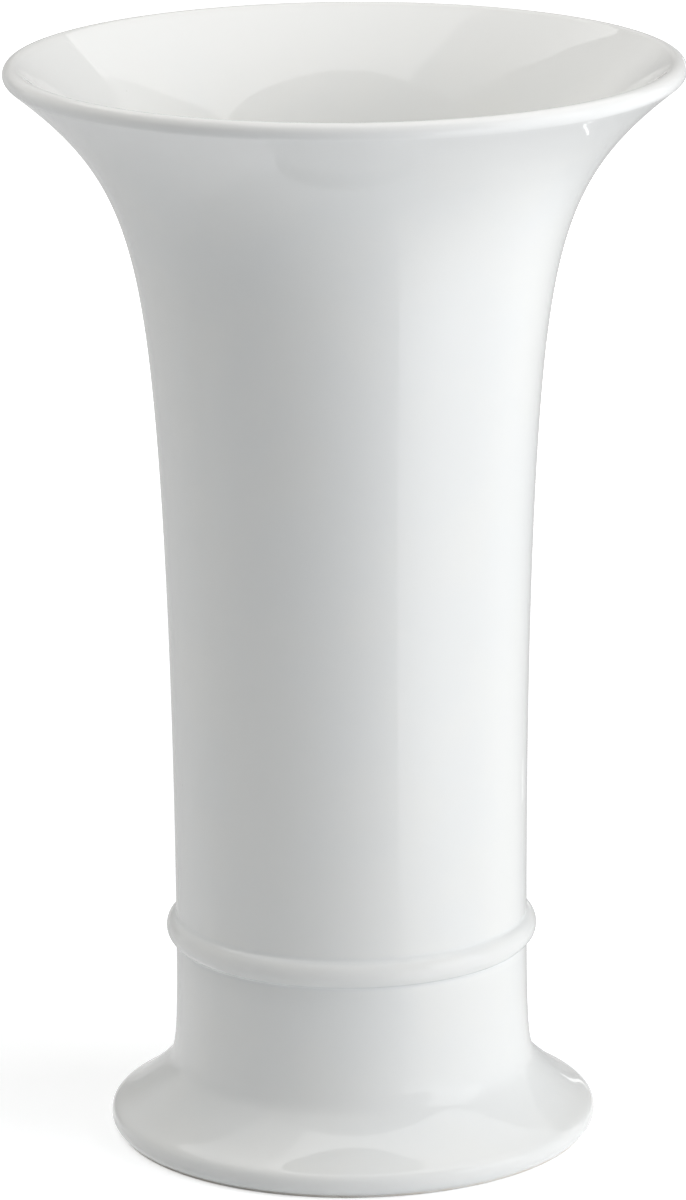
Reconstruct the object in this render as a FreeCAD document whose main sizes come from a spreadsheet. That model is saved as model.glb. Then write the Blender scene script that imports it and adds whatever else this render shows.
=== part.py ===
import FreeCAD, Part
import os
import Sketcher

# Trumpet vase of white porcelain, in millimetres, +Z up.
# The origin is the centre of the circle that the vase stands on.
# It is made as a potter makes a tall flared vase: the body and the foot are shaped
# apart and luted end to end, a bead runs round the seam, and the foot stands on a
# bare ring that is kept free of glaze.
# Every piece is a section turned round the vertical axis.

OUT_FOLDER = "parts"
FULL_TURN = 360.0
SPLINE_DEGREE = 3
POLE_WEIGHT = 1.0
BROKEN_STATES = ("Invalid", "Error")

SIZES = {
    # the vase as a whole
    "height": 250.0,
    "rim_radius": 76.6,
    "neck_radius": 40.45,
    "foot_radius": 56.0,
    "wall": 4.4,
    # the seam between body and foot, and the bead round it
    "seam_height": 48.2,
    "bead_width": 6.4,
    "bead_proud": 2.2,
    # the foot's flange: its widest line, and how far above that line it has
    # drawn in to the neck
    "edge_height": 3.4,
    "flange_rise": 16.0,
    # the floor of the vase
    "floor_thickness": 5.0,
    "floor_round": 9.0,
    # the hollow under the floor
    "well_height": 9.0,
    # the bare ring that the vase stands on, set in a little from the foot's edge
    "ring_inset": 1.6,
    "ring_width": 5.6,
    "ring_height": 0.7,
    "ring_bevel": 0.4,
}

# The flare's rise at the lip, as a share of its run there.
LIP_SLOPE_SHARE = 0.8
# Length of the control leg that ends at the lip: outside as a share of the flare's
# reach, inside longer by a share of the wall, so that the two curves stay parallel.
LIP_LEG_SHARE = 0.766
INNER_LEG_SHARE = 0.418
# Control points of the flare between bead and lip: reach from the neck, and height.
FLARE_SHARES = ((0.0, 0.124), (0.023, 0.756))
# Step from the outer to the inner control points, in shares of the wall.
INNER_STEP_SHARES = ((-1.0, 0.0), (-1.014, -0.114))
# Control points of the foot between its edge and the neck: spread, and rise.
FLANGE_SHARES = ((1.0, 0.14), (0.84, 0.155), (0.087, 0.755), (0.0, 1.0))
# Control points of the cove under the foot, between the ring and the line of the
# bore: step in from the ring, and depth.
COVE_SHARES = ((0.11, 0.57), (0.3, 1.0))

doc = FreeCAD.newDocument("TrumpetVase")


def make_sheet():
    """The driving dimensions, one named cell each."""
    sheet = doc.addObject("Spreadsheet::Sheet", "Sizes")
    for row, (name, value) in enumerate(SIZES.items(), start=1):
        sheet.set(f"A{row}", name)
        sheet.set(f"B{row}", str(value))
        sheet.setAlias(f"B{row}", name)
    doc.recompute()
    return sheet


class Section:
    """The section of a turned piece, drawn edge by edge in the half plane +X, +Z.

    Points are pairs of expressions of the sheet's cells: radius and height.
    """

    def __init__(self, label):
        self.body = doc.addObject("PartDesign::Body", label)
        self.body.Label = label
        self.sketch = self.body.newObject("Sketcher::SketchObject", f"{label}_section")
        plane = [f for f in self.body.Origin.OriginFeatures if f.Role == "XZ_Plane"][0]
        self.sketch.AttachmentSupport = [(plane, "")]
        self.sketch.MapMode = "FlatFace"
        self.first = None
        self.last = None

    def value(self, expression):
        return float(self.sketch.evalExpression(expression))

    def place(self, point):
        return FreeCAD.Vector(self.value(point[0]), self.value(point[1]), 0)

    def bind(self, kind, geometry, vertex, expression):
        """Ties one coordinate of a vertex to an expression, or to an axis at zero."""
        if expression == "0":
            axis = -2 if kind == "DistanceX" else -1
            self.sketch.addConstraint(Sketcher.Constraint("PointOnObject", geometry, vertex, axis))
            return
        size = Sketcher.Constraint(kind, -1, 1, geometry, vertex, self.value(expression))
        index = self.sketch.addConstraint(size)
        self.sketch.setExpression(f"Constraints[{index}]", expression)

    def bind_point(self, geometry, vertex, point):
        self.bind("DistanceX", geometry, vertex, point[0])
        self.bind("DistanceY", geometry, vertex, point[1])

    def start(self, point):
        self.here = point

    def join(self, geometry, begin, end, point, closing):
        """Hooks a new edge to the one before it, and fixes its far end."""
        if self.last is None:
            self.first = (geometry, begin)
            self.bind_point(geometry, begin, self.here)
        else:
            self.sketch.addConstraint(Sketcher.Constraint("Coincident", *self.last, geometry, begin))
        if closing:
            self.sketch.addConstraint(Sketcher.Constraint("Coincident", geometry, end, *self.first))
        else:
            self.bind_point(geometry, end, point)
        self.last = (geometry, end)
        self.here = point

    def line(self, point, closing=False):
        edge = Part.LineSegment(self.place(self.here), self.place(point))
        index = self.sketch.addGeometry(edge, False)
        self.join(index, 1, 2, point, closing)

    def arc(self, centre, point, crown=None, closing=False):
        """A round stretch about a centre. A half circle also needs its crown."""
        begin, end, middle = self.place(self.here), self.place(point), self.place(centre)
        if crown is None:
            outwards = ((begin + end) / 2 - middle).normalize()
            top = middle + outwards * (begin - middle).Length
        else:
            top = self.place(crown)
        index = self.sketch.addGeometry(Part.Arc(begin, top, end), False)
        gaps = [(self.sketch.getPoint(index, vertex) - begin).Length for vertex in (1, 2)]
        vertex = 1 if gaps[0] < gaps[1] else 2
        self.join(index, vertex, 3 - vertex, point, closing)
        self.bind("DistanceX", index, 3, centre[0])

    def spline(self, *points):
        """A smooth curve that starts here, with these control points, the last its end."""
        poles = [self.here, *points]
        spans = len(poles) - SPLINE_DEGREE
        ends = SPLINE_DEGREE + 1
        curve = Part.BSplineCurve()
        curve.buildFromPolesMultsKnots(
            [self.place(p) for p in poles],
            [ends] + [1] * (spans - 1) + [ends],
            [float(i) for i in range(spans + 1)],
            False,
            SPLINE_DEGREE,
        )
        index = self.sketch.addGeometry(curve, False)
        self.join(index, 1, 2, points[-1], False)
        for number, pole in enumerate(poles):
            handle = Part.Circle(self.place(pole), FreeCAD.Vector(0, 0, 1), POLE_WEIGHT)
            circle = self.sketch.addGeometry(handle, True)
            role = "InternalAlignment:Sketcher::BSplineControlPoint"
            self.sketch.addConstraint(Sketcher.Constraint(role, circle, 3, index, number))
            self.sketch.addConstraint(Sketcher.Constraint("Weight", circle, POLE_WEIGHT))
            if 0 < number < len(poles) - 1:
                self.bind_point(circle, 3, pole)

    def turn(self):
        """Turns the closed section round the vertical axis."""
        turned = self.body.newObject("PartDesign::Revolution", f"{self.body.Label}_turned")
        turned.Profile = self.sketch
        turned.ReferenceAxis = (self.sketch, ["V_Axis"])
        turned.Angle = FULL_TURN
        return self.body


def plus(*terms):
    return " + ".join(terms)


def share_of(share, size):
    return f"{share} * ({size})"


# Sizes that several pieces share, as expressions.
NECK = "Sizes.neck_radius"
NECK_BORE = "Sizes.neck_radius - Sizes.wall"
SEAM = "Sizes.seam_height"
BEAD_TOP = "Sizes.seam_height + Sizes.bead_width / 2"
BEAD_BOTTOM = "Sizes.seam_height - Sizes.bead_width / 2"
FLOOR = "Sizes.well_height + Sizes.floor_thickness"
RING_TOP = "Sizes.ring_height"
RING_OUTER = "Sizes.foot_radius - Sizes.ring_inset"
RING_INNER = "Sizes.foot_radius - Sizes.ring_inset - Sizes.ring_width"


def make_trumpet_body():
    """Straight neck, flare and rolled lip: one wall, the same thickness all the way."""
    reach = "Sizes.rim_radius - Sizes.neck_radius"
    rise = f"Sizes.height - ({BEAD_TOP})"
    lip = "Sizes.wall / 2"
    lip_radius = f"Sizes.rim_radius - {lip}"
    lip_height = f"Sizes.height - {lip}"
    along = f"(1 / sqrt(1 + {LIP_SLOPE_SHARE} ^ 2))"
    up = f"({LIP_SLOPE_SHARE} * {along})"
    outer_leg = share_of(LIP_LEG_SHARE, reach)
    inner_leg = plus(outer_leg, f"{INNER_LEG_SHARE} * Sizes.wall")

    lip_outer = (f"{lip_radius} + {lip} * {up}", f"{lip_height} - {lip} * {along}")
    lip_inner = (f"{lip_radius} - {lip} * {up}", f"{lip_height} + {lip} * {along}")
    leg_outer = (f"{lip_outer[0]} - ({outer_leg}) * {along}", f"{lip_outer[1]} - ({outer_leg}) * {up}")
    leg_inner = (f"{lip_inner[0]} - ({inner_leg}) * {along}", f"{lip_inner[1]} - ({inner_leg}) * {up}")
    outer = [(plus(NECK, share_of(r, reach)), plus(BEAD_TOP, share_of(z, rise))) for r, z in FLARE_SHARES]
    inner = [
        (f"{r} + {step_r} * Sizes.wall", f"{z} + {step_z} * Sizes.wall")
        for (r, z), (step_r, step_z) in zip(outer, INNER_STEP_SHARES)
    ]

    section = Section("trumpet_body")
    section.start((NECK_BORE, SEAM))
    section.line((NECK, SEAM))
    section.line((NECK, BEAD_TOP))
    section.spline(*outer, leg_outer, lip_outer)
    lip_crown = (f"{lip_radius} + {lip} * {along}", f"{lip_height} + {lip} * {up}")
    section.arc((lip_radius, lip_height), lip_inner, lip_crown)
    section.spline(leg_inner, *reversed(inner), (NECK_BORE, BEAD_TOP))
    section.line((NECK_BORE, SEAM), closing=True)
    return section.turn()


def make_bead_ring():
    """A low round bead that wraps the seam and hides it."""
    radius = "(Sizes.bead_proud ^ 2 + (Sizes.bead_width / 2) ^ 2) / (2 * Sizes.bead_proud)"
    centre = (f"{NECK} + Sizes.bead_proud - {radius}", SEAM)
    section = Section("bead_ring")
    section.start((NECK, BEAD_TOP))
    section.line((NECK, BEAD_BOTTOM))
    section.arc(centre, (NECK, BEAD_TOP), closing=True)
    return section.turn()


def make_foot():
    """Neck, floor and spreading flange, hollowed underneath."""
    spread = "Sizes.foot_radius - Sizes.neck_radius"
    drop = "Sizes.edge_height - Sizes.ring_height"
    under_radius = f"(Sizes.ring_inset ^ 2 + ({drop}) ^ 2) / (2 * Sizes.ring_inset)"
    under_centre = (f"Sizes.foot_radius - {under_radius}", "Sizes.edge_height")
    floor_start = f"{NECK_BORE} - Sizes.floor_round"
    wall_start = f"{FLOOR} + Sizes.floor_round"
    hollow = f"{RING_INNER} - ({NECK_BORE})"
    depth = "Sizes.well_height - Sizes.ring_height"

    edge = ("Sizes.foot_radius", "Sizes.edge_height")
    flange = [
        (plus(NECK, share_of(r, spread)), f"Sizes.edge_height + {z} * Sizes.flange_rise")
        for r, z in FLANGE_SHARES
    ]
    cove = [
        (f"{RING_INNER} - {share_of(r, hollow)}", plus(RING_TOP, share_of(z, depth)))
        for r, z in COVE_SHARES
    ]

    section = Section("foot")
    section.start(("0", "Sizes.well_height"))
    section.line(("0", FLOOR))
    section.line((floor_start, FLOOR))
    section.arc((floor_start, wall_start), (NECK_BORE, wall_start))
    section.line((NECK_BORE, SEAM))
    section.line((NECK, SEAM))
    section.line((NECK, BEAD_BOTTOM))
    section.spline(*reversed(flange), edge)
    section.arc(under_centre, (RING_OUTER, RING_TOP))
    section.line((RING_INNER, RING_TOP))
    section.spline(*cove, (NECK_BORE, "Sizes.well_height"))
    section.line(("0", "Sizes.well_height"), closing=True)
    return section.turn()


def make_foot_ring():
    """The narrow standing ring of bare, unglazed porcelain."""
    section = Section("foot_ring")
    section.start((RING_INNER, RING_TOP))
    section.line((RING_OUTER, RING_TOP))
    section.line((f"{RING_OUTER} - Sizes.ring_bevel", "0"))
    section.line((f"{RING_INNER} + Sizes.ring_bevel", "0"))
    section.line((RING_INNER, RING_TOP), closing=True)
    return section.turn()


def check(pieces):
    """Stops before anything is written if a feature failed or a shape is unsound."""
    for item in doc.Objects:
        if any(state in BROKEN_STATES for state in item.State):
            raise RuntimeError(f"{item.Label} is broken: {item.State}")
    for piece in pieces:
        if piece.Shape.isNull() or not piece.Shape.isValid():
            raise RuntimeError(f"{piece.Label} has no sound shape")


make_sheet()
pieces = [make_trumpet_body(), make_bead_ring(), make_foot(), make_foot_ring()]
doc.recompute()
check(pieces)

os.makedirs(OUT_FOLDER, exist_ok=True)
for piece in pieces:
    piece.Shape.exportStep(os.path.join(OUT_FOLDER, f"{piece.Label}.step"))
    box = piece.Shape.optimalBoundingBox()
    extent = f"z {box.ZMin:.2f} to {box.ZMax:.2f}, radius {box.XMax:.2f}"
    print(f"{piece.Label}: {piece.Shape.Volume:.0f} mm3, {extent}")
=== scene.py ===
import math

import bpy
from mathutils import Matrix, Vector


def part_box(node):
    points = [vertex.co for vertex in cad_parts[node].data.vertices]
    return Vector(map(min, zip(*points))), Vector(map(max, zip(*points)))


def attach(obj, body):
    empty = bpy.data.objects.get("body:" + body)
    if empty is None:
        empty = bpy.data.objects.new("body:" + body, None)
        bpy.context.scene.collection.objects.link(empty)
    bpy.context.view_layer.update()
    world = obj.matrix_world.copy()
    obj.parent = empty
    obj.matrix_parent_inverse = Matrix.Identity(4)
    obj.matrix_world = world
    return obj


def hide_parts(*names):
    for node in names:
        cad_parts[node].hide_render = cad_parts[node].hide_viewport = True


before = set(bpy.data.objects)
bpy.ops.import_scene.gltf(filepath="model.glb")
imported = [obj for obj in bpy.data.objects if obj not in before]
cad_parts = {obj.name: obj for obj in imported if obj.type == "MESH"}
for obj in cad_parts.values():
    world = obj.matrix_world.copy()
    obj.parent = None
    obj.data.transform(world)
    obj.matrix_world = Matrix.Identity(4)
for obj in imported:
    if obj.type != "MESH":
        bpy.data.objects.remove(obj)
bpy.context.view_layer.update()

MM = 0.001

# Sizes that the frame gives
body_low, body_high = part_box("trumpet_body")
bead_low, bead_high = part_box("bead_ring")
foot_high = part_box("foot")[1]
ring_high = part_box("foot_ring")[1]
HEIGHT = body_high.z
RIM_RADIUS = body_high.x
SEAM = body_low.z
BEAD_TOP = bead_high.z
BEAD_BOTTOM = bead_low.z
BEAD_RADIUS = bead_high.x
FOOT_RADIUS = foot_high.x
RING_TOP = ring_high.z
RING_OUTER = ring_high.x

# Sizes of the sections
NECK = 40.45 * MM
WALL = 4.4 * MM
EDGE_HEIGHT = 3.4 * MM
FLANGE_RISE = 16.0 * MM
WELL_HEIGHT = 9.0 * MM
FLOOR_THICKNESS = 5.0 * MM
FLOOR_ROUND = 9.0 * MM
RING_WIDTH = 5.6 * MM
RING_BEVEL = 0.4 * MM
CREASE_ROUND = 0.9 * MM
BEAD_SINK = 0.6 * MM
GLAZE_ROLL = 0.3 * MM
BORE = NECK - WALL
RING_INNER = RING_OUTER - RING_WIDTH
FLOOR = WELL_HEIGHT + FLOOR_THICKNESS

# The flare, as control points: reach from the neck, and height above the bead
FLARE_SHARES = ((0.0, 0.124), (0.023, 0.756))
LIP_SLOPE_SHARE = 0.8
LIP_LEG_SHARE = 0.766
INNER_LEG_SHARE = 0.418
INNER_STEP_SHARES = ((-1.0, 0.0), (-1.014, -0.114))
# The foot's flange: spread beyond the neck, and rise above the edge
FLANGE_SHARES = ((1.0, 0.14), (0.84, 0.155), (0.087, 0.755), (0.0, 1.0))
# The cove under the foot: step in from the ring, and depth
COVE_SHARES = ((0.11, 0.57), (0.3, 1.0))
# The edge turned under, as far as the roll where the glaze was wiped off the ring
UNDER_SHARE = 0.86
ROLL_SHARE = 0.9

# Fineness of the turned meshes: steps along each stretch of outline, and round the circle
STRAIGHT_STEPS = 2
DISC_STEPS = 6
FLARE_STEPS = 120
INNER_STEPS = 100
LIP_STEPS = 14
CREASE_STEPS = 8
CROWN_STEPS = 14
WELL_STEPS = 16
FLANGE_STEPS = 100
UNDER_STEPS = 12
ROLL_STEPS = 5
COVE_STEPS = 24
BEVEL_STEPS = 6
SECTOR_TURN = math.tau / 8
SECTOR_STEPS = 36
SMOOTH_ANGLE = math.radians(32)
MERGE_GAP = 0.002 * MM
# Orders of the outline's stretches: straight, round, and free curve
LINE_ORDER = 2
ROUND_ORDER = 3
CURVE_ORDER = 4


class Section:
    """The outline of a turned piece, drawn in the plane of X and Z, then turned round Z."""

    def __init__(self, name, start):
        bpy.ops.object.select_all(action="DESELECT")
        bpy.ops.curve.primitive_nurbs_path_add()
        self.drawn = bpy.context.object
        self.drawn.name = name
        self.drawn.data.name = name
        self.drawn.data.splines.clear()
        self.here = start

    def stretch(self, points, order, steps, weight=1.0):
        """One stretch of outline from here through its control points, in even steps."""
        points = [self.here, *points]
        spline = self.drawn.data.splines.new("NURBS")
        spline.points.add(len(points) - 1)
        for handle, (radius, height) in zip(spline.points, points):
            handle.co = (radius, 0, height, 1)
        for handle in spline.points[1:-1]:
            handle.co.w = weight
        spline.order_u = order
        spline.use_endpoint_u = True
        spline.resolution_u = max(1, round(steps / (len(points) - 1)))
        self.here = points[-1]

    def line(self, point, steps=1):
        self.stretch([point], LINE_ORDER, steps)

    def curve(self, *points, steps):
        self.stretch(points, CURVE_ORDER, steps)

    def round(self, corner, point, steps):
        """An arc of a circle to a point, whose two tangents meet at the corner."""
        into = Vector(corner) - Vector(self.here)
        out = Vector(point) - Vector(corner)
        self.stretch([corner, point], ROUND_ORDER, steps, math.cos(into.angle(out) / 2))

    def turned(self):
        """Makes the outline a mesh, turns it an eighth, and doubles that until the circle is closed."""
        bpy.ops.object.convert(target="MESH")
        bpy.ops.object.mode_set(mode="EDIT")
        bpy.ops.mesh.select_all(action="SELECT")
        bpy.ops.mesh.remove_doubles(threshold=MERGE_GAP)
        bpy.ops.mesh.spin(steps=SECTOR_STEPS, angle=SECTOR_TURN, center=(0, 0, 0), axis=(0, 0, 1))
        turn = SECTOR_TURN
        while turn < math.tau:
            bpy.ops.mesh.select_all(action="SELECT")
            bpy.ops.mesh.duplicate()
            bpy.ops.transform.rotate(value=turn, orient_axis="Z", center_override=(0, 0, 0))
            turn *= 2
        bpy.ops.mesh.select_all(action="SELECT")
        bpy.ops.mesh.remove_doubles(threshold=MERGE_GAP)
        bpy.ops.mesh.normals_make_consistent(inside=False)
        bpy.ops.object.mode_set(mode="OBJECT")
        bpy.ops.object.shade_smooth_by_angle(angle=SMOOTH_ANGLE)
        return bpy.context.object


def between(a, b, share):
    return a + (b - a) * share


def make_body():
    """Straight neck, flare and rolled lip, one wall all the way."""
    reach = RIM_RADIUS - NECK
    rise = HEIGHT - BEAD_TOP
    lip = WALL / 2
    lip_middle = Vector((RIM_RADIUS - lip, HEIGHT - lip))
    along = Vector((1, LIP_SLOPE_SHARE)).normalized()
    across = Vector((along.y, -along.x))
    outer_end = lip_middle + across * lip
    inner_end = lip_middle - across * lip
    crown = lip_middle + along * lip
    outer_leg = outer_end - along * (LIP_LEG_SHARE * reach)
    inner_leg = inner_end - along * (LIP_LEG_SHARE * reach + INNER_LEG_SHARE * WALL)
    outer = [(NECK + r * reach, BEAD_TOP + z * rise) for r, z in FLARE_SHARES]
    inner = [
        (r + step_r * WALL, z + step_z * WALL)
        for (r, z), (step_r, step_z) in zip(outer, INNER_STEP_SHARES)
    ]

    body = Section("vase_body", (BORE, SEAM))
    body.line((NECK, SEAM))
    body.line((NECK, BEAD_TOP), steps=STRAIGHT_STEPS)
    body.curve(*outer, outer_leg, outer_end, steps=FLARE_STEPS)
    body.round(outer_end + along * lip, crown, steps=LIP_STEPS)
    body.round(inner_end + along * lip, inner_end, steps=LIP_STEPS)
    body.curve(inner_leg, *reversed(inner), (BORE, BEAD_TOP), steps=INNER_STEPS)
    body.line((BORE, SEAM), steps=STRAIGHT_STEPS)
    return body.turned()


def make_bead():
    """The low round bead over the seam, its glaze drawn out thin onto the neck."""
    half = (BEAD_TOP - BEAD_BOTTOM) / 2
    proud = BEAD_RADIUS - NECK
    bulge = (proud ** 2 + half ** 2) / (2 * proud)
    middle = Vector((NECK + proud - bulge, SEAM))
    run = NECK + CREASE_ROUND - middle.x
    climb = math.sqrt((bulge + CREASE_ROUND) ** 2 - run ** 2)
    crown = Vector((BEAD_RADIUS, SEAM))

    bead = Section("bead", (NECK - BEAD_SINK, SEAM + climb))
    bead.line((NECK, SEAM + climb))
    for side in (1, -1):
        hollow = middle + Vector((run, side * climb))
        meeting = between(middle, hollow, bulge / (bulge + CREASE_ROUND))
        slope = Vector((meeting.y - middle.y, middle.x - meeting.x)).normalized() * side
        crease_corner = meeting - slope * ((meeting.x - NECK) / slope.x)
        crown_corner = meeting + slope * ((BEAD_RADIUS - meeting.x) / slope.x)
        if side > 0:
            bead.round(crease_corner, meeting, steps=CREASE_STEPS)
            bead.round(crown_corner, crown, steps=CROWN_STEPS)
        else:
            bead.round(crown_corner, meeting, steps=CROWN_STEPS)
            bead.round(crease_corner, (NECK, SEAM - climb), steps=CREASE_STEPS)
    bead.line((NECK - BEAD_SINK, SEAM - climb))
    bead.line((NECK - BEAD_SINK, SEAM + climb))
    return bead.turned()


def make_foot():
    """Lower neck, floor and spreading flange, hollowed underneath."""
    spread = FOOT_RADIUS - NECK
    flange = [(NECK + r * spread, EDGE_HEIGHT + z * FLANGE_RISE) for r, z in FLANGE_SHARES]
    hollow = RING_INNER - BORE
    depth = WELL_HEIGHT - RING_TOP
    cove = [(RING_INNER - r * hollow, RING_TOP + z * depth) for r, z in COVE_SHARES]
    step = FOOT_RADIUS - RING_OUTER
    drop = EDGE_HEIGHT - RING_TOP
    under = (step ** 2 + drop ** 2) / (2 * step)
    under_turn = math.asin(drop / under) * UNDER_SHARE
    under_reach = under * math.tan(under_turn / 2)
    under_radius = FOOT_RADIUS - under * (1 - math.cos(under_turn))
    under_end = (under_radius, EDGE_HEIGHT - under * math.sin(under_turn))
    roll_corner = (between(RING_OUTER, under_radius, ROLL_SHARE), RING_TOP)
    inner_roll = (RING_INNER - GLAZE_ROLL, RING_TOP + GLAZE_ROLL)

    foot = Section("vase_foot", (0, WELL_HEIGHT))
    foot.line((0, FLOOR))
    foot.line((BORE - FLOOR_ROUND, FLOOR), steps=DISC_STEPS)
    foot.round((BORE, FLOOR), (BORE, FLOOR + FLOOR_ROUND), steps=WELL_STEPS)
    foot.line((BORE, SEAM), steps=STRAIGHT_STEPS)
    foot.line((NECK, SEAM))
    foot.line((NECK, BEAD_BOTTOM), steps=STRAIGHT_STEPS)
    foot.curve(*reversed(flange), (FOOT_RADIUS, EDGE_HEIGHT), steps=FLANGE_STEPS)
    foot.round((FOOT_RADIUS, EDGE_HEIGHT - under_reach), under_end, steps=UNDER_STEPS)
    foot.round(roll_corner, (RING_OUTER, RING_TOP), steps=ROLL_STEPS)
    foot.line((RING_INNER, RING_TOP), steps=STRAIGHT_STEPS)
    foot.round((RING_INNER - GLAZE_ROLL, RING_TOP), inner_roll, steps=ROLL_STEPS)
    foot.curve(*cove, (BORE, WELL_HEIGHT), steps=COVE_STEPS)
    foot.line((0, WELL_HEIGHT), steps=DISC_STEPS)
    return foot.turned()


def make_ring():
    """The bare standing ring, its two edges rubbed round."""
    ring = Section("standing_ring", (RING_INNER, RING_TOP))
    ring.line((RING_OUTER, RING_TOP), steps=STRAIGHT_STEPS)
    ring.round((RING_OUTER, 0), (RING_OUTER - RING_BEVEL, 0), steps=BEVEL_STEPS)
    ring.line((RING_INNER + RING_BEVEL, 0), steps=STRAIGHT_STEPS)
    ring.round((RING_INNER, 0), (RING_INNER, RING_TOP), steps=BEVEL_STEPS)
    return ring.turned()


# Colours of the glaze and of the bare ring
GLAZE_WHITE = (0.91, 0.908, 0.884, 1)
GLAZE_CLOUD = (0.898, 0.901, 0.884, 1)
GLAZE_POOL = (0.845, 0.862, 0.858, 1)
GLAZE_THIN = (0.915, 0.905, 0.882, 1)
# Painted light: a paler glaze near the lip, standing in for light shining through the thin porcelain
GLAZE_LIP_PAINTED_GLOW = (0.945, 0.943, 0.924, 1)
GLAZE_SPECK = (0.42, 0.36, 0.3, 1)
BISCUIT_PALE = (0.84, 0.815, 0.77, 1)
BISCUIT_WARM = (0.78, 0.735, 0.67, 1)
BISCUIT_RUBBED = (0.62, 0.6, 0.57, 1)

# Clouds of colour: their sizes, their detail, and the noise between which one colour becomes the other
GLAZE_CLOUD_SIZE = 24 * MM
BISCUIT_CLOUD_SIZE = 5 * MM
CLOUD_DETAIL = 3.0
CLOUD_FULL = 0.62
CLOUD_GONE = 0.38

# Relief of the glaze: a slow swell, a fine skin, and the rings left by throwing
SWELL_SIZE = 11 * MM
SWELL_DEPTH = 0.02 * MM
SKIN_SIZE = 1.3 * MM
SKIN_DEPTH = 0.0012 * MM
RELIEF_DETAIL = 2.0
NOISE_ROUGHNESS = 0.5
THROWING_SPACING = 7 * MM
THROWING_DEPTH = 0.01 * MM

# Specks and pits: spacing, size, the share of places that have one, and how strong or deep it is
SPECK_SPACING = 17 * MM
SPECK_SIZE = 0.16 * MM
SPECKS_KEPT = 0.16
SPECK_SHARE = 0.8
PIT_SPACING = 0.77 * SPECK_SPACING
PIT_SIZE = 0.3 * MM
PITS_KEPT = 0.12
PIT_DEPTH = 0.04 * MM
SPOT_CORE = 0.3

# Where glaze pools or runs thin, and where a painted glow pales it towards the lip in place of light
# shining through the thin wall; how far that reaches, and how strong it is
POOL_REACH = 1.3 * MM
POOL_SHARE = 0.55
WELL_POOL_SHARE = 0.5
THIN_REACH = 1.6 * MM
LIP_GLOW_REACH = 22 * MM

# Gloss of the glaze: its roughness, how much the swell varies it, and what thin glaze adds
GLAZE_ROUGHNESS = 0.015
GLAZE_ROUGHNESS_CHANGE = 0.03
THIN_ROUGHNESS = 0.06
CERAMIC_IOR = 1.5

# The bare ring: its sandy relief, its roughness, and where it is rubbed
BISCUIT_SWELL_SIZE = 3 * MM
GRAIN_SIZE = 0.35 * MM
GRAIN_DEPTH = 0.03 * MM
BISCUIT_ROUGHNESS = 0.55
BISCUIT_ROUGHNESS_CHANGE = 0.3
RUBBED_FULL = 0.6
RUBBED_GONE = 0.45
RUBBED_SHARE = 0.6

# Places of the colour sockets on a Mix node
MIX_FIRST = 6
MIX_SECOND = 7
MIX_RESULT = 2


def add_node(tree, kind, **settings):
    """A node of a kind, with its settings."""
    node = tree.nodes.new("ShaderNode" + kind)
    for name, value in settings.items():
        setattr(node, name, value)
    return node


def feed(tree, socket, source):
    """Joins a source to a socket, or writes a plain value there."""
    if isinstance(source, bpy.types.NodeSocket):
        tree.links.new(source, socket)
    else:
        socket.default_value = source


def reckon(tree, operation, *values):
    """One sum on numbers."""
    node = add_node(tree, "Math", operation=operation)
    for socket, value in zip(node.inputs, values):
        feed(tree, socket, value)
    return node.outputs[0]


def graded(tree, share, full, gone):
    """A number between two: the first where the share is one, the second where it is nought."""
    return reckon(tree, "MULTIPLY_ADD", share, full - gone, gone)


def fade(tree, value, full, gone):
    """One where the value is full, easing to nought where it is gone."""
    node = add_node(tree, "MapRange", interpolation_type="SMOOTHSTEP")
    feed(tree, node.inputs["Value"], value)
    node.inputs["From Min"].default_value = min(full, gone)
    node.inputs["From Max"].default_value = max(full, gone)
    node.inputs["To Min"].default_value = 1.0 if full < gone else 0.0
    node.inputs["To Max"].default_value = 0.0 if full < gone else 1.0
    return node.outputs["Result"]


def near(tree, value, level, reach):
    """One at a level, easing to nought a reach away from it."""
    gap = reckon(tree, "ABSOLUTE", reckon(tree, "SUBTRACT", value, level))
    return fade(tree, gap, 0.0, reach)


def blend(tree, share, first, second):
    """A colour between two, by a share."""
    node = add_node(tree, "Mix", data_type="RGBA")
    feed(tree, node.inputs["Factor"], share)
    feed(tree, node.inputs[MIX_FIRST], first)
    feed(tree, node.inputs[MIX_SECOND], second)
    return node.outputs[MIX_RESULT]


def piece_place(tree):
    """The place on the piece, in metres, and the same split in three."""
    place = add_node(tree, "TexCoord").outputs["Object"]
    split = add_node(tree, "SeparateXYZ")
    feed(tree, split.inputs["Vector"], place)
    return place, split.outputs


def axis_distance(tree, place):
    """The distance from the vase's axis."""
    squares = [reckon(tree, "MULTIPLY", place[axis], place[axis]) for axis in ("X", "Y")]
    return reckon(tree, "SQRT", reckon(tree, "ADD", *squares))


def clouds(tree, place, size, detail):
    """Soft noise whose lumps are about one size across."""
    node = add_node(tree, "TexNoise")
    feed(tree, node.inputs["Vector"], place)
    feed(tree, node.inputs["Scale"], reckon(tree, "DIVIDE", 1.0, size))
    node.inputs["Detail"].default_value = detail
    node.inputs["Roughness"].default_value = NOISE_ROUGHNESS
    return node.outputs["Fac"]


def scatter(tree, place, spacing, size, kept):
    """Small round spots, one in some of the cells of a loose lattice."""
    cells = add_node(tree, "TexVoronoi", feature="F1")
    feed(tree, cells.inputs["Vector"], place)
    cells.inputs["Scale"].default_value = 1 / spacing
    spot = fade(tree, cells.outputs["Distance"], SPOT_CORE * size / spacing, size / spacing)
    draw = add_node(tree, "SeparateColor")
    feed(tree, draw.inputs["Color"], cells.outputs["Color"])
    chosen = reckon(tree, "LESS_THAN", draw.outputs["Red"], kept)
    return reckon(tree, "MULTIPLY", spot, chosen)


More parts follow.
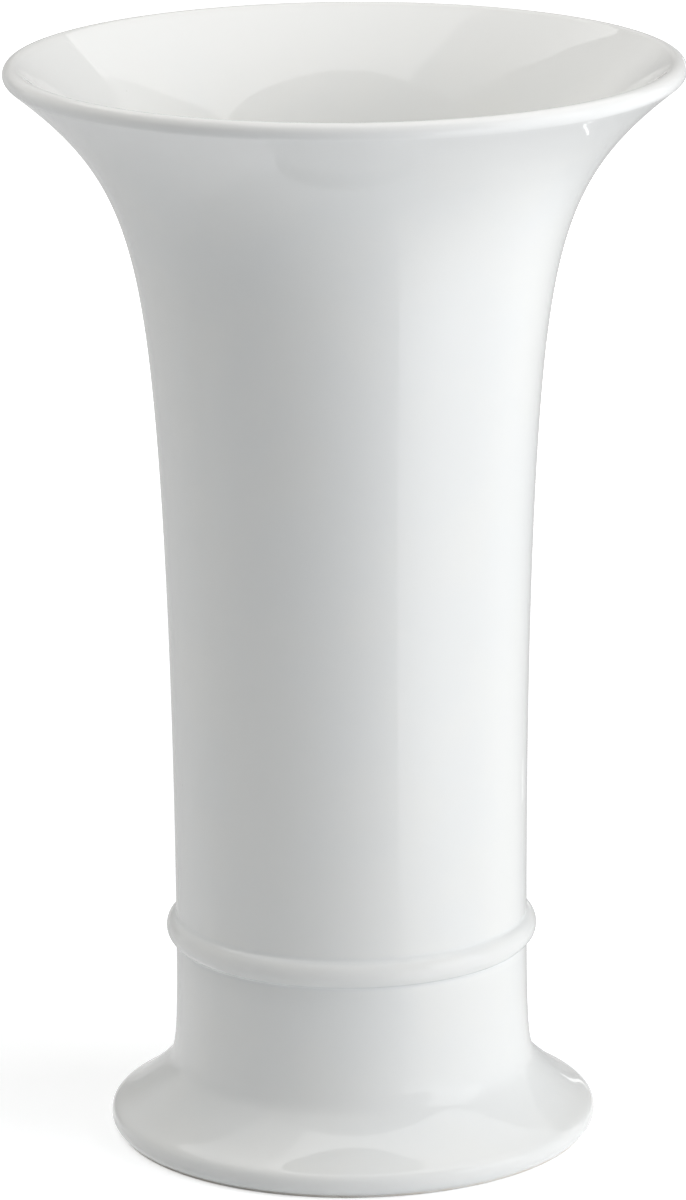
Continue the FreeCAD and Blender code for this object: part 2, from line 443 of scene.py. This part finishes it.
def new_group(name, inputs, outputs):
    """A shader node group with named inputs and outputs."""
    group = bpy.data.node_groups.new(name, "ShaderNodeTree")
    for label, kind, value in inputs:
        socket = group.interface.new_socket(label, in_out="INPUT", socket_type=kind)
        socket.default_value = value
    for label, kind in outputs:
        group.interface.new_socket(label, in_out="OUTPUT", socket_type=kind)
    given = group.nodes.new("NodeGroupInput").outputs
    out = group.nodes.new("NodeGroupOutput").inputs
    return group, given, out


def place_group(tree, group, **values):
    """A node group in a material, with its own values."""
    node = add_node(tree, "Group", node_tree=group)
    for label, value in values.items():
        feed(tree, node.inputs[label.replace("_", " ").title()], value)
    return node.outputs


def make_grain():
    """Fired surface in two sizes, a slow swell and a fine skin: a tone from 0 to 1, a height in metres."""
    tree, given, out = new_group(
        "fired_grain",
        [
            ("Swell Size", "NodeSocketFloat", SWELL_SIZE),
            ("Swell Depth", "NodeSocketFloat", SWELL_DEPTH),
            ("Skin Size", "NodeSocketFloat", SKIN_SIZE),
            ("Skin Depth", "NodeSocketFloat", SKIN_DEPTH),
        ],
        [("Tone", "NodeSocketFloat"), ("Height", "NodeSocketFloat")],
    )
    place = add_node(tree, "TexCoord").outputs["Object"]
    swell = clouds(tree, place, given["Swell Size"], RELIEF_DETAIL)
    skin = clouds(tree, place, given["Skin Size"], RELIEF_DETAIL)
    feed(tree, out["Tone"], reckon(tree, "MULTIPLY", reckon(tree, "ADD", swell, skin), 0.5))
    swell_height = reckon(tree, "MULTIPLY", swell, given["Swell Depth"])
    skin_height = reckon(tree, "MULTIPLY", skin, given["Skin Depth"])
    feed(tree, out["Height"], reckon(tree, "ADD", swell_height, skin_height))
    return tree


def make_wander():
    """A colour that drifts between two over the surface, in soft clouds."""
    tree, given, out = new_group(
        "colour_wander",
        [
            ("First", "NodeSocketColor", GLAZE_WHITE),
            ("Second", "NodeSocketColor", GLAZE_CLOUD),
            ("Size", "NodeSocketFloat", GLAZE_CLOUD_SIZE),
        ],
        [("Colour", "NodeSocketColor")],
    )
    place = add_node(tree, "TexCoord").outputs["Object"]
    drift = clouds(tree, place, given["Size"], CLOUD_DETAIL)
    share = fade(tree, drift, CLOUD_FULL, CLOUD_GONE)
    feed(tree, out["Colour"], blend(tree, share, given["First"], given["Second"]))
    return tree


def new_material(name):
    material = bpy.data.materials.new(name)
    material.use_nodes = True
    return material, material.node_tree, material.node_tree.nodes["Principled BSDF"]


def raise_relief(tree, shader, height):
    """Raises the surface by a height in metres."""
    bump = add_node(tree, "Bump")
    bump.inputs["Distance"].default_value = 1.0
    feed(tree, bump.inputs["Height"], height)
    feed(tree, shader.inputs["Normal"], bump.outputs["Normal"])


def make_glaze(grain, wander):
    """Clear glaze over white porcelain: pooled in the creases, thin over the edges, specks and pits, and
    paler towards the lip by painted light.
    """
    material, tree, shader = new_material("white_glaze")
    place, parts = piece_place(tree)
    height = parts["Z"]
    radius = axis_distance(tree, parts)
    outside = reckon(tree, "GREATER_THAN", radius, BORE + WALL / 2)
    surface = place_group(tree, grain)

    above = near(tree, height, BEAD_TOP, POOL_REACH)
    below = near(tree, height, BEAD_BOTTOM, POOL_REACH)
    creases = reckon(tree, "MULTIPLY", reckon(tree, "MAXIMUM", above, below), outside)
    well = reckon(tree, "MULTIPLY", near(tree, height, FLOOR, FLOOR_ROUND), WELL_POOL_SHARE)
    pool = reckon(tree, "MULTIPLY", reckon(tree, "ADD", creases, well), POOL_SHARE)

    lip = near(tree, height, HEIGHT, THIN_REACH)
    brim = near(tree, radius, FOOT_RADIUS, THIN_REACH)
    low = near(tree, height, EDGE_HEIGHT, THIN_REACH)
    edges = reckon(tree, "MAXIMUM", lip, reckon(tree, "MULTIPLY", brim, low))
    crest = reckon(tree, "MULTIPLY", near(tree, height, SEAM, THIN_REACH), outside)
    thin = reckon(tree, "MULTIPLY", reckon(tree, "MAXIMUM", edges, crest), surface["Tone"])

    speck = scatter(tree, place, SPECK_SPACING, SPECK_SIZE, SPECKS_KEPT)
    colour = place_group(tree, wander)["Colour"]
    # Painted light: the glaze grows paler towards the lip, in place of light shining through the thin wall
    colour = blend(tree, near(tree, height, HEIGHT, LIP_GLOW_REACH), colour, GLAZE_LIP_PAINTED_GLOW)
    colour = blend(tree, pool, colour, GLAZE_POOL)
    colour = blend(tree, thin, colour, GLAZE_THIN)
    colour = blend(tree, reckon(tree, "MULTIPLY", speck, SPECK_SHARE), colour, GLAZE_SPECK)
    feed(tree, shader.inputs["Base Color"], colour)

    gloss = reckon(tree, "MULTIPLY_ADD", surface["Tone"], GLAZE_ROUGHNESS_CHANGE, GLAZE_ROUGHNESS)
    gloss = reckon(tree, "MULTIPLY_ADD", thin, THIN_ROUGHNESS, gloss)
    feed(tree, shader.inputs["Roughness"], gloss)
    shader.inputs["IOR"].default_value = CERAMIC_IOR

    pit = scatter(tree, place, PIT_SPACING, PIT_SIZE, PITS_KEPT)
    rings = reckon(tree, "SINE", reckon(tree, "MULTIPLY", height, math.tau / THROWING_SPACING))
    depth = reckon(tree, "MULTIPLY", surface["Tone"], THROWING_DEPTH)
    relief = reckon(tree, "ADD", surface["Height"], reckon(tree, "MULTIPLY", rings, depth))
    relief = reckon(tree, "SUBTRACT", relief, reckon(tree, "MULTIPLY", pit, PIT_DEPTH))
    raise_relief(tree, shader, relief)
    return material


def make_biscuit(grain, wander):
    """Bare fired clay, sandy to the touch, rubbed grey where the vase has stood and slid."""
    material, tree, shader = new_material("bare_biscuit")
    height = piece_place(tree)[1]["Z"]
    surface = place_group(
        tree,
        grain,
        swell_size=BISCUIT_SWELL_SIZE,
        swell_depth=GRAIN_DEPTH,
        skin_size=GRAIN_SIZE,
        skin_depth=GRAIN_DEPTH,
    )
    clay = place_group(tree, wander, first=BISCUIT_PALE, second=BISCUIT_WARM, size=BISCUIT_CLOUD_SIZE)
    standing = fade(tree, height, 0.0, RING_BEVEL)
    patches = fade(tree, surface["Tone"], RUBBED_FULL, RUBBED_GONE)
    rubbed = reckon(tree, "MULTIPLY", reckon(tree, "MULTIPLY", standing, patches), RUBBED_SHARE)
    feed(tree, shader.inputs["Base Color"], blend(tree, rubbed, clay["Colour"], BISCUIT_RUBBED))
    sandy = reckon(tree, "MULTIPLY_ADD", surface["Tone"], BISCUIT_ROUGHNESS_CHANGE, BISCUIT_ROUGHNESS)
    feed(tree, shader.inputs["Roughness"], sandy)
    shader.inputs["IOR"].default_value = CERAMIC_IOR
    raise_relief(tree, shader, surface["Height"])
    return material


def dress(piece, node, material):
    piece.data.materials.clear()
    piece.data.materials.append(material)
    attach(piece, "root")
    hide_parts(node)


# Camera
CAMERA_DISTANCE = 1.52588
CAMERA_HEIGHT = 0.53094
CAMERA_TURN = math.radians(0.0502)
CAMERA_PITCH = math.radians(14.898)
CAMERA_TILT = math.radians(-0.4755)
CAMERA_LENS = 207.615
CAMERA_SENSOR = 36


def make_camera():
    """The camera before the vase, at the photograph's angle."""
    bpy.ops.object.camera_add(location=(0, -CAMERA_DISTANCE, CAMERA_HEIGHT))
    camera = bpy.context.object
    turn = Matrix.Rotation(CAMERA_TURN, 3, "Z")
    pitch = Matrix.Rotation(math.pi / 2 - CAMERA_PITCH, 3, "X")
    tilt = Matrix.Rotation(CAMERA_TILT, 3, "Z")
    camera.rotation_euler = (turn @ pitch @ tilt).to_euler()
    camera.data.lens = CAMERA_LENS
    camera.data.sensor_width = CAMERA_SENSOR
    bpy.context.scene.camera = camera


# The floor, and the tint of its own shine, which keeps the shadow a plain grey
FLOOR_RADIUS = 6.0
FLOOR_VERTICES = 96
FLOOR_TONE = (0.848, 0.866, 0.89, 1)
SHINE_TINT = (1.0, 0.985, 0.965, 1)
# How strongly the floor shines by itself, near the vase and far from it, and where that changes
SHINE_NEAR = 0.5
SHINE_FAR = 1.0
SHINE_START = 0.2
SHINE_END = 0.9

# How a card stands or lies: along the picture, from front to back, or flat
ALONG = (math.pi / 2, 0, 0)
FRONT_TO_BACK = (math.pi / 2, 0, math.pi / 2)
FLAT = (0, 0, 0)

# What the glaze mirrors behind the vase, half by half: its name and side, the ground's tones straight
# behind and at the side, the two angles from straight behind between which they change, and the wall's
# tone and height, and the height from which it pales
BEHIND_REACH = 5.0
BEHIND = (
    ("left", -1, (0.66, 1.15), (25, 88), (0.5, 2.4, 0.7)),
    ("right", 1, (0.5, 1.0), (25, 75), (0.55, 4.1, 4.1)),
)
WALL_TOP_TONE = 1.0
GROUND_GAP = 1 * MM

# The low window before that wall: its reach to the side and in height, its gap and its tone
WINDOW_SIDES = (0.95, 1.6)
WINDOW_HEIGHTS = (0.05, 0.26)
WINDOW_GAP = 0.05
WINDOW_TONE = 1.5

# The white sliver on the ground behind: its place, turn, width and length, and tone
SLIVER_PLACE = Vector((0.165, 0.235, 2 * MM))
SLIVER_TURN = math.radians(-35)
SLIVER_SIZE = (0.0028, 0.036)
SLIVER_TONE = 3.0

# The upright card to the right of the vase: its distance, its reach from front to back, its height
# and its tone
SIDE_DISTANCE = 2.0
SIDE_ENDS = (-1.7, -0.1)
SIDE_HEIGHT = 1.75
SIDE_TONE = 2.1

# The white card that lies before the vase, to the right of a line at this turn, and how far behind
# the vase's middle it starts
LYING_TURN = math.radians(29)
LYING_BACK = 0.1
LYING_SIZE = (1.2, 1.6)
LYING_GAP = 0.5 * MM
LYING_TONE = 2.35
# It pales close to the vase, and towards the side
LYING_NEAR = 0.06
LYING_FAR = 0.4
LYING_NEAR_TONE = 1.25
LYING_SIDE_START = math.radians(40)
LYING_SIDE_END = math.radians(90)
LYING_SIDE_TONE = 1.0

# The ceiling's panels: their names, their reach to the sides and to front and back, and their tones
# at front and back
CEILING_HEIGHT = 1.8
CEILING = (
    ("ceiling", (-0.57, 1.65), (-0.47, 2.05), (2.35, 1.45)),
    ("ceiling_left", (-1.25, -0.57), (-0.47, 1.95), (1.35, 2.2)),
)

# Brightness of the surroundings, as light on the vase and where they are seen
ROOM_LEVEL = 0.02
WHITE_LEVEL = 1.0

# The lamps, all aimed at the middle of the vase: turn, rise, size, watts and tint
LAMP_DISTANCE = 1.8
AIM = Vector((0, 0, HEIGHT / 2))
LAMPS = (
    ("softbox_right", 76, 18, 1.4, 20.3, (0.985, 0.992, 1.0)),
    ("softbox_front", 50, 12, 1.4, 9.3, (0.925, 0.955, 1.0)),
    ("overhead", 0, 90, 1.4, 11.4, (1.0, 0.995, 0.975)),
    ("softbox_left", 266, 46, 1.6, 13.5, (0.99, 0.992, 0.98)),
)

BLACK = (0, 0, 0, 1)
WHITE = (1, 1, 1, 1)


def room_place(tree):
    """The place in the room, split in three, and its distance from the middle of the vase's foot."""
    place = add_node(tree, "NewGeometry").outputs["Position"]
    split = add_node(tree, "SeparateXYZ")
    feed(tree, split.inputs["Vector"], place)
    distance = add_node(tree, "VectorMath", operation="LENGTH")
    feed(tree, distance.inputs[0], place)
    return split.outputs, distance.outputs["Value"]


def seen_directly(tree):
    """One for rays from the camera, from the glaze's shine and through glass, nought for others."""
    path = add_node(tree, "LightPath").outputs
    first = reckon(tree, "MAXIMUM", path["Is Camera Ray"], path["Is Glossy Ray"])
    return reckon(tree, "MAXIMUM", first, path["Is Transmission Ray"])


def shining_material(name, base, tint):
    """A dull material that shines by itself: gives it, its node tree and the strength of its shine."""
    material, tree, shader = new_material(name)
    material.cycles.emission_sampling = "NONE"
    shader.inputs["Base Color"].default_value = base
    shader.inputs["Roughness"].default_value = 1.0
    shader.inputs["Specular IOR Level"].default_value = 0.0
    shader.inputs["Emission Color"].default_value = tint
    return material, tree, shader.inputs["Emission Strength"]


def make_floor():
    """Pale floor, lifted to white where it is seen directly, with the vase's shadow left on it."""
    bpy.ops.mesh.primitive_circle_add(vertices=FLOOR_VERTICES, radius=FLOOR_RADIUS, fill_type="NGON")
    floor = bpy.context.object
    floor.name = "floor"
    material, tree, strength = shining_material("pale_floor", FLOOR_TONE, SHINE_TINT)
    close = fade(tree, room_place(tree)[1], SHINE_START, SHINE_END)
    shine = graded(tree, close, SHINE_NEAR, SHINE_FAR)
    feed(tree, strength, reckon(tree, "MULTIPLY", shine, seen_directly(tree)))
    floor.data.materials.append(material)


def make_card(name, tone, middle, turn, size):
    """A plain card that only the glaze's shine sees: gives its node tree and its tone's socket."""
    bpy.ops.mesh.primitive_plane_add(size=1, location=middle, rotation=turn)
    card = bpy.context.object
    card.name = name
    card.scale = (*size, 1)
    for sight in ("camera", "diffuse", "shadow", "transmission", "volume_scatter"):
        setattr(card, "visible_" + sight, False)
    material, tree, strength = shining_material(name, BLACK, WHITE)
    strength.default_value = tone
    card.data.materials.append(material)
    return tree, strength


def make_behind(name, side, ground_tones, angles, wall):
    """A quarter of the ground and half of the wall behind the vase."""
    straight, aside = ground_tones
    start, end = (math.radians(angle) for angle in angles)
    middle = (side * BEHIND_REACH / 2, BEHIND_REACH / 2, GROUND_GAP)
    size = (BEHIND_REACH, BEHIND_REACH)
    tree, strength = make_card("ground_" + name, straight, middle, FLAT, size)
    place = room_place(tree)[0]
    angle = reckon(tree, "ARCTAN2", reckon(tree, "MULTIPLY", place["X"], side), place["Y"])
    feed(tree, strength, graded(tree, fade(tree, angle, start, end), straight, aside))

    wall_tone, wall_height, pale_height = wall
    middle = (side * BEHIND_REACH / 2, BEHIND_REACH, wall_height / 2)
    size = (BEHIND_REACH, wall_height)
    tree, strength = make_card("wall_" + name, wall_tone, middle, ALONG, size)
    if pale_height < wall_height:
        share = fade(tree, room_place(tree)[0]["Z"], pale_height, wall_height)
        feed(tree, strength, graded(tree, share, wall_tone, WALL_TOP_TONE))


def make_window():
    """The low window behind, whose light the foot's edge catches."""
    (left, right), (low, high) = WINDOW_SIDES, WINDOW_HEIGHTS
    middle = ((left + right) / 2, BEHIND_REACH - WINDOW_GAP, (low + high) / 2)
    make_card("window", WINDOW_TONE, middle, ALONG, (right - left, high - low))


def make_sliver():
    """A white sliver on the ground behind, mirrored as the small mark under the lip at the right."""
    make_card("sliver", SLIVER_TONE, SLIVER_PLACE, (0, 0, SLIVER_TURN), SLIVER_SIZE)


def make_side():
    """The upright card beside the vase."""
    front, back = SIDE_ENDS
    middle = (SIDE_DISTANCE, (front + back) / 2, SIDE_HEIGHT / 2)
    make_card("side_card", SIDE_TONE, middle, FRONT_TO_BACK, (back - front, SIDE_HEIGHT))


def make_lying():
    """The white card that lies before the vase, paler close to it and towards the side."""
    width, length = LYING_SIZE
    middle = Matrix.Rotation(LYING_TURN, 3, "Z") @ Vector((width / 2, LYING_BACK - length / 2, 0))
    middle.z = LYING_GAP
    tree, strength = make_card("lying_card", LYING_TONE, middle, (0, 0, LYING_TURN), LYING_SIZE)
    place, distance = room_place(tree)
    close = fade(tree, distance, LYING_NEAR, LYING_FAR)
    tone = graded(tree, close, LYING_NEAR_TONE, LYING_TONE)
    angle = reckon(tree, "ARCTAN2", place["X"], reckon(tree, "MULTIPLY", place["Y"], -1.0))
    share = fade(tree, angle, LYING_SIDE_START, LYING_SIDE_END)
    extra = reckon(tree, "SUBTRACT", tone, LYING_SIDE_TONE)
    feed(tree, strength, reckon(tree, "MULTIPLY_ADD", share, extra, LYING_SIDE_TONE))


def make_ceiling(name, sides, ends, tones):
    """A panel of the ceiling, whose tone changes from its front to its back."""
    (left, right), (front, back), (front_tone, back_tone) = sides, ends, tones
    middle = ((left + right) / 2, (front + back) / 2, CEILING_HEIGHT)
    tree, strength = make_card(name, front_tone, middle, FLAT, (right - left, back - front))
    share = fade(tree, room_place(tree)[0]["Y"], front, back)
    feed(tree, strength, graded(tree, share, front_tone, back_tone))


def make_cards():
    """All that the glaze mirrors: greys behind the vase, so that its edges show on white, and whites."""
    for half in BEHIND:
        make_behind(*half)
    make_window()
    make_sliver()
    make_side()
    make_lying()
    for panel in CEILING:
        make_ceiling(*panel)


def make_world():
    """Plain white all round to look at, and a faint light from everywhere on the vase."""
    world = bpy.data.worlds.new("studio")
    bpy.context.scene.world = world
    world.use_nodes = True
    world.cycles.sampling_method = "NONE"
    tree = world.node_tree
    background = tree.nodes["Background"].inputs
    background["Color"].default_value = WHITE
    level = graded(tree, seen_directly(tree), WHITE_LEVEL, ROOM_LEVEL)
    feed(tree, background["Strength"], level)


def toward(turn, rise):
    """The direction at a turn and a rise in degrees: a turn of 0 is the camera's side, 90 the right."""
    turn, rise = math.radians(turn), math.radians(rise)
    out = math.cos(rise)
    return Vector((math.sin(turn) * out, -math.cos(turn) * out, math.sin(rise)))


def make_lamps():
    """Soft square lamps that only light: the glaze mirrors the cards instead, which are dimmer."""
    for name, turn, rise, size, power, tint in LAMPS:
        back = toward(turn, rise)
        bpy.ops.object.light_add(type="AREA", location=AIM + back * LAMP_DISTANCE)
        lamp = bpy.context.object
        lamp.name = name
        lamp.rotation_euler = back.to_track_quat("Z", "Y").to_euler()
        lamp.data.shape = "SQUARE"
        lamp.data.size = size
        lamp.data.energy = power
        lamp.data.color = tint
        lamp.visible_glossy = False


grain = make_grain()
wander = make_wander()
glaze = make_glaze(grain, wander)
biscuit = make_biscuit(grain, wander)
dress(make_body(), "trumpet_body", glaze)
dress(make_bead(), "bead_ring", glaze)
dress(make_foot(), "foot", glaze)
dress(make_ring(), "foot_ring", biscuit)
make_camera()
make_floor()
make_cards()
make_world()
make_lamps()
bpy.context.scene.view_settings.view_transform = "Standard"
